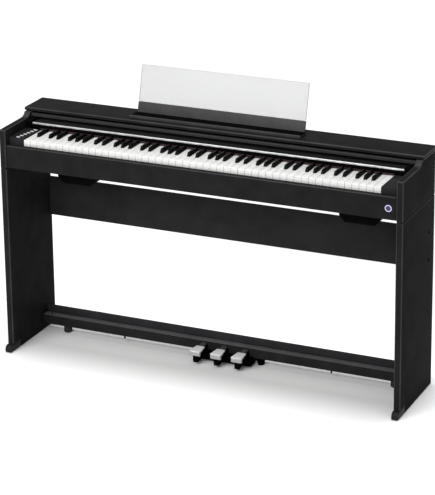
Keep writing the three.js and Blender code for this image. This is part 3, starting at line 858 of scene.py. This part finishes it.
def floor_adjuster():
    """A knurled wheel on a short thread, screwed down until it meets the floor."""
    low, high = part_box("floor_adjuster")
    centre = (low + high) / 2
    wheel_top = low.z + 16.7 * MM
    radius = 14.6 * MM
    middle = (centre.x, centre.y, (low.z + wheel_top) / 2)
    wheel = add_cylinder("wheel", radius, middle, wheel_top - low.z, "Z", 72)
    with editing(wheel):
        slice_at("Z", low.z + 3 * MM)
        pick_corners(lambda p: p.z < low.z + 4 * MM)
        bpy.ops.transform.resize(value=(0.8, 0.8, 1), center_override=(centre.x, centre.y, low.z))
        slot = math.tau / 36

        def in_slot(c, n):
            turn = math.atan2(c.y - centre.y, c.x - centre.x) % slot
            return abs(n.z) < 0.5 and c.z > low.z + 3 * MM and turn < slot / 2

        pick_faces(in_slot)
        bpy.ops.mesh.extrude_region_shrink_fatten(TRANSFORM_OT_shrink_fatten={"value": -0.7 * MM})
    smooth(wheel, 25)
    stem = 5 * MM
    crest, pitch = stem, 1.5 * MM
    profile = [(0, wheel_top - MM)]
    height = wheel_top - MM
    while height < high.z - pitch:
        profile += [(crest - 0.7 * MM, height), (crest, height + pitch / 2)]
        height += pitch
    profile += [(crest - 0.9 * MM, high.z - 0.2 * MM), (0, high.z)]
    thread = turned("thread", (centre.x, centre.y, 0), "Z", profile, 32)
    stand_for(joined("adjuster_wheel", [wheel, thread]), "black_plastic", DEEP_ABS, "floor_adjuster")


# The case of the piano unit

COVE_RISE = 14.7 * MM
COVE_RUN = 30 * MM
COVE_STEPS = 7
COVE_SETBACK = 8 * MM            # the curve ends this far in front of the lid
ARM_SLOPE = 1 * MM


def arm(side):
    """A board whose top runs nearly level from the player, then curves up to the lid."""
    low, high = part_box(f"arm_{side}")
    level = high.z - COVE_RISE
    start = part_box("top_lid")[0].y - COVE_SETBACK - COVE_RUN
    board = add_box(f"{side}_arm_board", low, (high.x, high.y, level))
    with editing(board):
        lifted = 0
        slice_at("Y", start)
        for step in range(1, COVE_STEPS + 1):
            angle = math.radians(80) * step / COVE_STEPS
            y = start + COVE_RUN * math.sin(angle) / math.sin(math.radians(80))
            rise = COVE_RISE * (1 - math.cos(angle)) / (1 - math.cos(math.radians(80)))
            slice_at("Y", y)
            pick_corners(lambda p: p.y > y - TINY and p.z > level - TINY)
            shift(z=rise - lifted)
            lifted = rise
        pick_corners(lambda p: p.y < low.y + TINY and p.z > level - TINY)
        shift(z=-ARM_SLOPE)
        pick_edges(lambda c, d: abs(d.x) > 0.9 and c.y < low.y + TINY and c.z > level - 2 * MM)
        bpy.ops.mesh.bevel(offset=5 * MM, segments=5)
    round_edges(board, BOARD_EDGE, 4, 30)
    # The board is the slightly darker foil, painted shade; its rounded edges and cove take the lighter,
    # glossier foil, painted highlight.
    coat_faces(board, LAMINATE, HIGHLIGHT_FOIL, lambda c, n: is_rounded(c, n) and c.z > low.z + 4 * MM)
    stand_for(board, "laminate", None, f"arm_{side}")


def top_lid():
    """The lid, with a bullnose front."""
    low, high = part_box("top_lid")
    lid = add_box("lid_board", low, high)
    with editing(lid):
        pick_edges(lambda c, d: abs(d.x) > 0.9 and c.y < low.y + TINY)
        bpy.ops.mesh.bevel(offset=5 * MM, segments=6)
        pick_edges(lambda c, d: abs(d.y) > 0.9 and abs(c.x) > high.x - TINY)
        bpy.ops.mesh.bevel(offset=2.5 * MM, segments=4)
    round_edges(lid, 1.5 * MM, 3, 40)
    # The lid is the darker copy of the foil, painted shade; its rounded edges take the lighter, glossier
    # foil, painted highlight.
    coat_faces(lid, LAMINATE_SHADED, HIGHLIGHT_FOIL, is_rounded)
    stand_for(lid, "laminate", None, "top_lid")


def fascia_band():
    """The grey band above the key cover, well rounded, with a fine groove under it."""
    low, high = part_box("fascia_band")
    band = add_box("fascia_strip", low, high)
    with editing(band):
        slice_at("Z", low.z + 1.6 * MM, low.z + 2.4 * MM)
        pick_faces(lambda c, n: n.y < -0.5 and low.z + 1.6 * MM < c.z < low.z + 2.4 * MM)
        push(y=0.8 * MM)
        pick_edges(lambda c, d: abs(d.x) > 0.9 and c.z > high.z - TINY)
        bpy.ops.mesh.bevel(offset=4 * MM, segments=6)
    round_edges(band, 0.3 * MM, 2, 50)
    stand_for(band, "grey_plastic", GREY_ABS, "fascia_band")


RING_RADIUS = 11.2 * MM
RING_SEAT = 3 * MM


def front_rail():
    """The rail below the keys, bored for the power button, with a seat for its light ring."""
    low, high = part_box("front_rail")
    button_low, button_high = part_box("power_button")
    centre = (button_low + button_high) / 2
    radius = (button_high.x - button_low.x) / 2
    rail = add_box("key_rail", low, high)
    round_edges(rail, 2.5 * MM, 4)
    cut_away(
        rail,
        add_cylinder("seat", RING_RADIUS + GAP, (centre.x, low.y, centre.z), 2 * RING_SEAT, "Y", 64),
        add_cylinder("bore", radius + 1.2 * MM, (centre.x, low.y, centre.z), 100 * MM, "Y", 64),
    )
    smooth(rail)
    # The rail is the darker copy of the foil, painted shade; its rounded top edge takes the lighter, glossier
    # foil, painted highlight.
    coat_faces(rail, LAMINATE_SHADED, HIGHLIGHT_FOIL, lambda c, n: is_rounded(c, n) and c.z > high.z - 3 * MM)
    stand_for(rail, "laminate", None, "front_rail")


def power_button():
    """A dished round cap in a ring that lights."""
    low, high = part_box("power_button")
    centre = (low + high) / 2
    r = (high.x - low.x) / 2
    front = (centre.x, low.y, centre.z)
    depth = high.y - low.y
    cap = turned("power_cap", front, "Y", [
        (0, 0.7 * MM), (0.6 * r, 0.45 * MM), (0.82 * r, 0.1 * MM), (0.9 * r, 0), (0.97 * r, 0.15 * MM),
        (r, 0.6 * MM), (r, depth), (0, depth),
    ], 64)
    stand_for(cap, "black_plastic", SMOKED_ACRYLIC, "power_button")

    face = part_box("front_rail")[0].y
    inner = r + 0.7 * MM
    ring = turned("power_light_ring", (centre.x, face, centre.z), "-Y", [
        (inner, -RING_SEAT + GAP), (RING_RADIUS, -RING_SEAT + GAP), (RING_RADIUS, 0.2 * MM),
        (RING_RADIUS - 0.5 * MM, 0.7 * MM), (inner + 0.5 * MM, 0.7 * MM), (inner, 0.2 * MM),
        (inner, -RING_SEAT + GAP),
    ], 64)
    go_with(ring, LIGHT_RING, "front_rail")


BUTTONS = 6
WELL = 5.2 * MM


def cheek(side):
    """The block that fills the end of the keyboard, with wells for the buttons on the left."""
    low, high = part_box(f"cheek_{side}")
    block = add_box(f"{side}_key_block", low, high)
    with editing(block):
        pick_edges(lambda c, d: c.z > high.z - TINY or (abs(d.z) > 0.9 and c.y < low.y + TINY))
        bpy.ops.mesh.bevel(offset=1.6 * MM, segments=3)
    if side == "left":
        clear = 0.5 * MM
        wells = []
        for index in range(BUTTONS):
            start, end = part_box(f"mode_button_{index + 1}")
            corner = (start.x - clear, start.y - clear, high.z - WELL)
            wells.append(add_box("well", corner, (end.x + clear, end.y + clear, end.z)))
        cut_away(block, *wells)
    smooth(block)
    stand_for(block, "black_plastic", BLACK_ABS, f"cheek_{side}")


def mode_buttons():
    """Six caps with dished tops, made once and copied."""
    low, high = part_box("mode_button_1")
    first = add_box("mode_cap_1", low, high)
    with editing(first):
        pick_faces(lambda c, n: n.z > 0.5)
        bpy.ops.mesh.inset(thickness=0.9 * MM)
        shift(z=-0.3 * MM)
    round_edges(first, 0.3 * MM, 3, 15)
    caps = [first]
    for index in range(1, BUTTONS):
        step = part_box(f"mode_button_{index + 1}")[0] - low
        caps.append(copy_of(first, f"mode_cap_{index + 1}", *step))
    for index, cap in enumerate(caps):
        stand_for(cap, "button_grey", PALE_ABS, f"mode_button_{index + 1}")


def key_cover():
    """The sliding cover, with a raised front and rear lip and a brushed strip in front."""
    low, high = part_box("key_cover")
    cover = add_box("cover_plate", low, high)
    with editing(cover):
        slice_at("Y", low.y + 10 * MM)
        pick_faces(lambda c, n: n.z > 0.5 and c.y > low.y + 10 * MM)
        shift(z=-1.5 * MM)
        slice_at("Y", high.y - 12 * MM)
        pick_faces(lambda c, n: n.z > 0.5 and c.y > high.y - 12 * MM)
        push(z=1.5 * MM)
    round_edges(cover, 1 * MM, 3)
    stand_for(cover, "black_plastic", BLACK_ABS, "key_cover")

    low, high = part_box("cover_trim")
    strip = add_box("cover_strip", low, high)
    with editing(strip):
        slice_at("Z", (low.z + high.z) / 2)
        pick_edges(lambda c, d: abs(d.x) > 0.9 and c.y < low.y + TINY and low.z + TINY < c.z < high.z - TINY)
        shift(y=-0.3 * MM)
    round_edges(strip, 1.6 * MM, 6, 20)
    stand_for(strip, "trim_metal", BRIGHT_TRIM, "cover_trim")


NAME_RAIL_DEPTH = 8.5 * MM
NAME_RAIL_HEIGHT = 13 * MM
END_BLOCK = 24.2 * MM            # width of the blocks that the cover slides between


def name_rail():
    """The rail behind the keys with its two end blocks, and a felt strip along its foot."""
    low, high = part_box("name_rail")
    left, right = low.x + END_BLOCK, high.x - END_BLOCK
    top = low.z + NAME_RAIL_HEIGHT
    rail = add_box("fallboard_rail", (left, low.y, low.z), (right, low.y + NAME_RAIL_DEPTH, top))
    with editing(rail):
        pick_edges(lambda c, d: abs(d.x) > 0.9 and c.y < low.y + TINY and c.z > top - TINY)
        bpy.ops.mesh.bevel(offset=3 * MM, segments=1)
    round_edges(rail, 0.5 * MM, 3, 30)
    stand_for(rail, "black_plastic", DEEP_ABS, "name_rail")
    blocks = []
    for start, end in ((low.x, left), (right, high.x)):
        block = add_box("end_block", (start, low.y, low.z), (end, high.y, high.z))
        with editing(block):
            pick_edges(lambda c, d: abs(d.x) > 0.9 and c.y < low.y + TINY and c.z > high.z - TINY)
            bpy.ops.mesh.bevel(offset=6 * MM, segments=6)
        blocks.append(round_edges(block, 0.8 * MM, 3, 30))
    go_with(joined("cover_end_blocks", blocks), DEEP_ABS, "name_rail")

    low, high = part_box("key_felt")
    felt = add_box("felt_strip", low, high)
    with editing(felt):
        slice_at("X", *[low.x + (high.x - low.x) * step / 60 for step in range(1, 60)])
        pick_corners(lambda p: p.z > high.z - TINY and round((p.x - low.x) / (high.x - low.x) * 60) % 3 == 1)
        shift(z=-0.35 * MM)
    round_edges(felt, 0.9 * MM, 3, 30)
    stand_for(felt, "felt", FELT, "key_felt")


# Keys

OCTAVE = "cdefgab"
SHARPS = "cdfga"
WHITE_KEYS = 52
OCTAVE_START = 23                # white keys below the octave whose keys move one by one
HEAD_LENGTH = 47.5 * MM
TAIL_CLEARANCE = 1 * MM
NATURAL_BAR = (722 * MM, 731 * MM)   # lower and upper face of the bar that joins a bank
SHARP_BAR = (734 * MM, 739.6 * MM)
KEY_EDGE = 0.5 * MM


def white_key(name, letter, left_sharp, right_sharp):
    """A broad head, and a tail narrowed to pass the sharps beside it."""
    low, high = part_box(f"white_key_{letter}")
    tail_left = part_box(f"black_key_{left_sharp}_sharp")[1].x + TAIL_CLEARANCE if left_sharp else low.x
    tail_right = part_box(f"black_key_{right_sharp}_sharp")[0].x - TAIL_CLEARANCE if right_sharp else high.x
    shoulder = low.y + HEAD_LENGTH
    key = add_box(name, low, (high.x, shoulder, high.z))
    with editing(key):
        slice_at("X", *[x for x in (tail_left, tail_right) if low.x + TINY < x < high.x - TINY])
        pick_faces(lambda c, n: n.y > 0.5 and tail_left < c.x < tail_right)
        push(y=high.y - shoulder)
        pick_edges(lambda c, d: c.y < low.y + TINY and abs(d.x) > 0.9 and c.z > high.z - TINY)
        bpy.ops.mesh.bevel(offset=1.5 * MM, segments=4)
    return round_edges(key, KEY_EDGE, 3, 40)


def sharp_before(letter):
    before = OCTAVE[OCTAVE.index(letter) - 1]
    return before if before in SHARPS else None


CAP_LENGTH = 63.5 * MM
STICK_DROP = 11.4 * MM           # from a sharp's top to the top of its stick
STICK_THICKNESS = 7.6 * MM


def sharp_key(name, letter):
    """A tapered cap with a sloping front, on a stick that runs back under the cover."""
    low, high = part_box(f"black_key_{letter}_sharp")
    cap_back = low.y + CAP_LENGTH
    stick_top = high.z - STICK_DROP
    stick_low = stick_top - STICK_THICKNESS
    middle = (low.x + high.x) / 2
    key = add_box(name, low, (high.x, cap_back, high.z))
    with editing(key):
        slice_at("Z", stick_low, stick_top)
        pick_faces(lambda c, n: n.y > 0.5 and stick_low < c.z < stick_top)
        push(y=high.y - cap_back)
        pick_corners(lambda p: p.z > high.z - TINY and p.y < low.y + TINY)
        shift(y=5.5 * MM)
        for side in (-1, 1):
            pick_corners(lambda p: p.z > high.z - TINY and (p.x - middle) * side > 0)
            shift(x=-side * 0.9 * MM)
    return round_edges(key, 1.2 * MM, 4, 30)


def keyboard():
    """Seven white keys and five sharps, each made once; the banks beside them are copies."""
    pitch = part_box("white_key_d")[0].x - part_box("white_key_c")[0].x
    naturals = {}
    for letter in OCTAVE:
        right = letter if letter in SHARPS else None
        naturals[letter] = white_key(f"natural_{letter}", letter, sharp_before(letter), right)
    sharps = {letter: sharp_key(f"sharp_{letter}", letter) for letter in SHARPS}
    lowest = white_key("natural_lowest", "a", None, "a")
    highest = white_key("natural_highest", "c", None, None)

    def place_of(index):
        """This key's letter, and how far it lies from the octave's own key of that letter."""
        letter = OCTAVE[(index - OCTAVE_START) % 7]
        home = OCTAVE_START + OCTAVE.index(letter)
        return letter, (index - home) * pitch

    def bank(name, first, last):
        whites, blacks = [], []
        for index in range(first, last):
            letter, offset = place_of(index)
            key = {0: lowest, WHITE_KEYS - 1: highest}.get(index, naturals[letter])
            whites.append(copy_of(key, "key", x=offset))
            if letter in SHARPS and index < WHITE_KEYS - 1:
                blacks.append(copy_of(sharps[letter], "key", x=offset))
        low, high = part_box(f"white_keys_{name}")
        bottom, top = NATURAL_BAR
        bar = add_box("bar", (low.x + MM, high.y - 9 * MM, bottom), (high.x - MM, high.y - MM, top))
        stand_for(joined(f"{name}_naturals", [*whites, bar]), "key_white", WHITE_KEY, f"white_keys_{name}")
        low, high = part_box(f"black_keys_{name}")
        bottom, top = SHARP_BAR
        bar = add_box("bar", (low.x + MM, high.y - 8 * MM, bottom), (high.x - MM, high.y - MM, top))
        stand_for(joined(f"{name}_sharps", [*blacks, bar]), "key_black", BLACK_KEY, f"black_keys_{name}")

    bank("bass", 0, OCTAVE_START)
    bank("treble", OCTAVE_START + 7, WHITE_KEYS)
    for key in (lowest, highest):
        bpy.data.objects.remove(key, do_unlink=True)
    for letter, key in naturals.items():
        stand_for(key, "key_white", WHITE_KEY, f"white_key_{letter}")
    for letter, key in sharps.items():
        stand_for(key, "key_black", BLACK_KEY, f"black_key_{letter}_sharp")


# Music rest

REST_TILT = math.radians(-14.8)
REST_FOOT_Y = 111.5 * MM
REST_FOOT_Z = 802.5 * MM
REST_BASE = 38 * MM
REST_BASE_THICKNESS = 7 * MM
REST_HEIGHT = 160 * MM
SHEET = 4 * MM


def tilted(piece):
    """Tilts a piece that was made upright at the origin, and stands it at the rest's foot."""
    tilt = Matrix.Rotation(REST_TILT, 4, "X")
    piece.data.transform(Matrix.Translation((0, REST_FOOT_Y, REST_FOOT_Z)) @ tilt)
    return piece


def page_ledge():
    """The board on the lid, with a low lip along its front."""
    low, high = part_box("page_ledge")
    floor = high.z - 3 * MM
    ledge = add_box("ledge_board", low, (high.x, high.y, floor))
    with editing(ledge):
        slice_at("Y", low.y + 4.5 * MM)
        pick_faces(lambda c, n: n.z > 0.5 and c.y < low.y + 4.5 * MM)
        push(z=high.z - floor)
    round_edges(ledge, 1.2 * MM, 3)
    # The lip and outer faces take the grey copy, painted light; the floor behind the lip keeps the black.
    coat_faces(ledge, LEDGE_LIP_LIGHT_ABS, DEEP_ABS, lambda c, n: n.z > 0.5 and c.y > low.y + 5 * MM)
    stand_for(ledge, "black_plastic", None, "page_ledge")


def music_rest():
    """A clear sheet with round corners, gripped by a grey bar."""
    low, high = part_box("music_base")
    bar = add_box("rest_bar", (low.x, 0, 0), (high.x, REST_BASE_THICKNESS, REST_BASE))
    with editing(bar):
        middle = REST_BASE_THICKNESS / 2
        slice_at("Y", middle - SHEET / 2 - GAP, middle + SHEET / 2 + GAP)
        pick_faces(lambda c, n: n.z > 0.5 and abs(c.y - middle) < SHEET / 2)
        push(z=-GAP)
        pick_edges(lambda c, d: abs(d.y) > 0.9 and (c.x < low.x + TINY or c.x > high.x - TINY))
        bpy.ops.mesh.bevel(offset=2 * MM, segments=3)
    round_edges(bar, 0.6 * MM, 3, 40)
    stand_for(tilted(bar), "grey_plastic", REST_ABS, "music_base")

    y = REST_BASE_THICKNESS / 2
    sheet = add_box(
        "clear_sheet", (low.x, y - SHEET / 2, REST_BASE + GAP), (high.x, y + SHEET / 2, REST_HEIGHT))
    with editing(sheet):
        pick_edges(lambda c, d: abs(d.y) > 0.9)
        bpy.ops.mesh.bevel(offset=6 * MM, segments=8)
    round_edges(sheet, 0.5 * MM, 2, 40)
    coat_faces(sheet, ACRYLIC, ACRYLIC_EDGE, lambda c, n: abs(n.y) < 0.95)
    stand_for(tilted(sheet), "rest_panel", None, "music_panel")


# Speakers

SPEAKER_WALL = 3 * MM
SPEAKER_CHAMFER = 21 * MM
CONE = 36 * MM


def speaker_box(side):
    """A moulded box with its long lower corners cut off, open above, and a round mouth below."""
    node = f"speaker_box_{side}"
    low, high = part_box(node)
    centre = (low + high) / 2
    box = add_box(f"{side}_speaker_case", low, high)
    with editing(box):
        pick_edges(lambda c, d: abs(d.y) > 0.9 and c.z < low.z + TINY)
        bpy.ops.mesh.bevel(offset=SPEAKER_CHAMFER, segments=1)
        pick_edges(lambda c, d: abs(d.z) > 0.9)
        bpy.ops.mesh.bevel(offset=5 * MM, segments=4)
        pick_faces(lambda c, n: n.z > 0.9)
        bpy.ops.mesh.inset(thickness=SPEAKER_WALL)
        push(z=low.z + SPEAKER_WALL - high.z)
        for end in (-1, 1):
            pick_corners(lambda p: abs(p.z - low.z - SPEAKER_WALL) < TINY and (p.x - centre.x) * end > 0)
            shift(x=-end * (SPEAKER_CHAMFER - 2 * MM))
    cut_away(box, add_cylinder("mouth", CONE, (centre.x, centre.y, low.z), 30 * MM, "Z", 64))
    round_edges(box, 1 * MM, 2, 40)
    stand_for(box, "black_plastic", DEEP_ABS, node)


def speaker(side):
    """A paper cone turned in one piece with its surround, dust cap and basket, and a magnet."""
    node = f"speaker_{side}"
    low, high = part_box(node)
    centre = (low + high) / 2
    flange = (high.x - low.x) / 2
    height = high.z - low.z
    cone = turned(f"{side}_cone", (centre.x, centre.y, low.z), "Z", [
        (0, 13 * MM), (6 * MM, 12.4 * MM), (10.5 * MM, 15 * MM), (30 * MM, 2.5 * MM), (31.5 * MM, 1.2 * MM),
        (33 * MM, 0.6 * MM), (34.5 * MM, 1.2 * MM), (CONE, 2 * MM), (flange, 0), (flange, 3 * MM),
        (CONE, 4 * MM), (20 * MM, height - 14 * MM), (0, height - 14 * MM),
    ])
    stand_for(cone, "speaker_cone", CONE_PAPER, node)
    magnet = turned(f"{side}_magnet", (centre.x, centre.y, high.z - 13.5 * MM), "Z", [
        (0, 0), (19 * MM, 0), (20 * MM, MM), (20 * MM, 12 * MM), (19 * MM, 13 * MM), (8 * MM, 13 * MM),
        (7 * MM, 12 * MM), (0, 12 * MM),
    ])
    go_with(magnet, ZINC_STEEL, node)


# Back and inside


def rear_cover():
    """The rear cover with its socket hole and the screws round its edge."""
    low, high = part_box("rear_cover")
    socket = middle_of("dc_inlet")
    cover = add_box("back_cover", low, high)
    with editing(cover):
        pick_faces(lambda c, n: n.y > 0.5)
        bpy.ops.mesh.inset(thickness=14 * MM)
        shift(y=-1.2 * MM)
    cut_away(cover, add_cylinder("bore", 6.6 * MM, (socket.x, high.y, socket.z), 40 * MM, "Y", 48))
    round_edges(cover, 0.6 * MM, 2, 30)
    stand_for(cover, "black_plastic", BLACK_ABS, "rear_cover")
    margin = 7 * MM
    columns = [low.x + margin + (high.x - low.x - 2 * margin) * step / 6 for step in range(7)]
    places = [(x, high.y, z) for x in columns for z in (low.z + margin, high.z - margin)]
    screws("rear_cover_screws", places, "Y", "rear_cover")


def dc_inlet():
    """A socket body with a rounded collar and a centre pin."""
    low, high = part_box("dc_inlet")
    centre = (low + high) / 2
    body = add_box("inlet_body", low, high)
    cut_away(body, add_cylinder("bore", 3.3 * MM, (centre.x, high.y, centre.z), 24 * MM, "Y", 40))
    round_edges(body, 0.5 * MM, 2)
    pin = turned("inlet_pin", (centre.x, low.y + 2 * MM, centre.z), "Y", [
        (0, 0), (1.1 * MM, 0), (1.1 * MM, 9 * MM), (0.6 * MM, 10 * MM), (0, 10.2 * MM)], 24)
    stand_for(body, "black_plastic", DEEP_ABS, "dc_inlet")
    go_with(pin, ZINC_STEEL, "dc_inlet")


def board_parts():
    """Chips, capacitors and connectors on the main board."""
    low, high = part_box("main_board")
    top = high.z
    parts = []
    for step, (size, height) in enumerate(((14, 1.6), (22, 1.8), (14, 1.6), (10, 1.4))):
        x = low.x + (0.16 + 0.2 * step) * (high.x - low.x)
        half = size * MM / 2
        y = (low.y + high.y) / 2
        chip = add_box("chip", (x - half, y - half, top), (x + half, y + half, top + height * MM))
        parts.append(round_edges(chip, 0.2 * MM, 2))
    for step in range(5):
        x = low.x + (0.08 + 0.05 * step) * (high.x - low.x)
        parts.append(turned("capacitor", (x, high.y - 7 * MM, top), "Z", [
            (0, 0), (3.6 * MM, 0), (4 * MM, 0.4 * MM), (4 * MM, MM), (3.7 * MM, 1.4 * MM), (4 * MM, 1.8 * MM),
            (4 * MM, 10 * MM), (3.6 * MM, 10.6 * MM), (0, 10.4 * MM)], 24))
    for step in range(3):
        x = low.x + (0.55 + 0.14 * step) * (high.x - low.x)
        shell = add_box(
            "connector", (x - 9 * MM, low.y + 2 * MM, top), (x + 9 * MM, low.y + 8 * MM, top + 6 * MM))
        with editing(shell):
            pick_faces(lambda c, n: n.z > 0.5)
            bpy.ops.mesh.inset(thickness=MM)
            push(z=-4 * MM)
        parts.append(shell)
    go_with(joined("board_parts", parts), DEEP_ABS, "main_board")


def plain_nodes():
    """The CAD nodes whose shape is right keep it and get their finish."""
    for node, material in (
        ("bottom_board", CHIPBOARD), ("key_frame", DEEP_ABS),
        ("main_board", CIRCUIT), ("pedal_rod", ZINC_STEEL),
    ):
        slots = NODES[node].data.materials
        slots.clear()
        slots.append(material)


# The studio


WORLD_LIGHT = 0.36
SUN_LIGHT = 2.35
SUN_SIZE = math.radians(26)      # wide, so that its shadows are soft
SUN_LEAN = math.radians(-4)      # from a little behind, so that they fall forward


def studio():
    deselect()
    bpy.ops.mesh.primitive_plane_add(size=60, location=(0, 0, 0))
    floor = settle("studio_floor")
    floor.data.materials.append(PAPER)
    world = bpy.data.worlds.new("studio")
    bpy.context.scene.world = world
    world.use_nodes = True
    background = world.node_tree.nodes["Background"]
    background.inputs["Color"].default_value = (1, 1, 1, 1)
    background.inputs["Strength"].default_value = WORLD_LIGHT
    data = bpy.data.lights.new("overhead", "SUN")
    data.energy = SUN_LIGHT
    data.angle = SUN_SIZE
    overhead = bpy.data.objects.new("overhead", data)
    overhead.rotation_euler.x = SUN_LEAN
    bpy.context.scene.collection.objects.link(overhead)
    soft_light("front", (-0.8, -3.2, 2.4), (0, 0, 0.5), 3, 1.4, 100)
    bpy.context.scene.view_settings.view_transform = "Standard"


make_camera()
for side in SIDES:
    side_panel(side)
    screw_caps(side)
    front_foot(side)
    arm(side)
    cheek(side)
    beam_foot(side)
    speaker_box(side)
    speaker(side)
flat_board("back_panel", "back_board", "laminate", LAMINATE_CROSS)
# The low board takes the lighter copy of the foil: painted light.
flat_board("beam_board", "low_board", "laminate", LAMINATE_LIT_BOARD)
pedal_beam()
for name in PEDALS:
    pedal(name)
floor_adjuster()
top_lid()
fascia_band()
front_rail()
power_button()
mode_buttons()
key_cover()
name_rail()
keyboard()
page_ledge()
music_rest()
rear_cover()
dc_inlet()
board_parts()
plain_nodes()
studio()

bpy.context.view_layer.update()
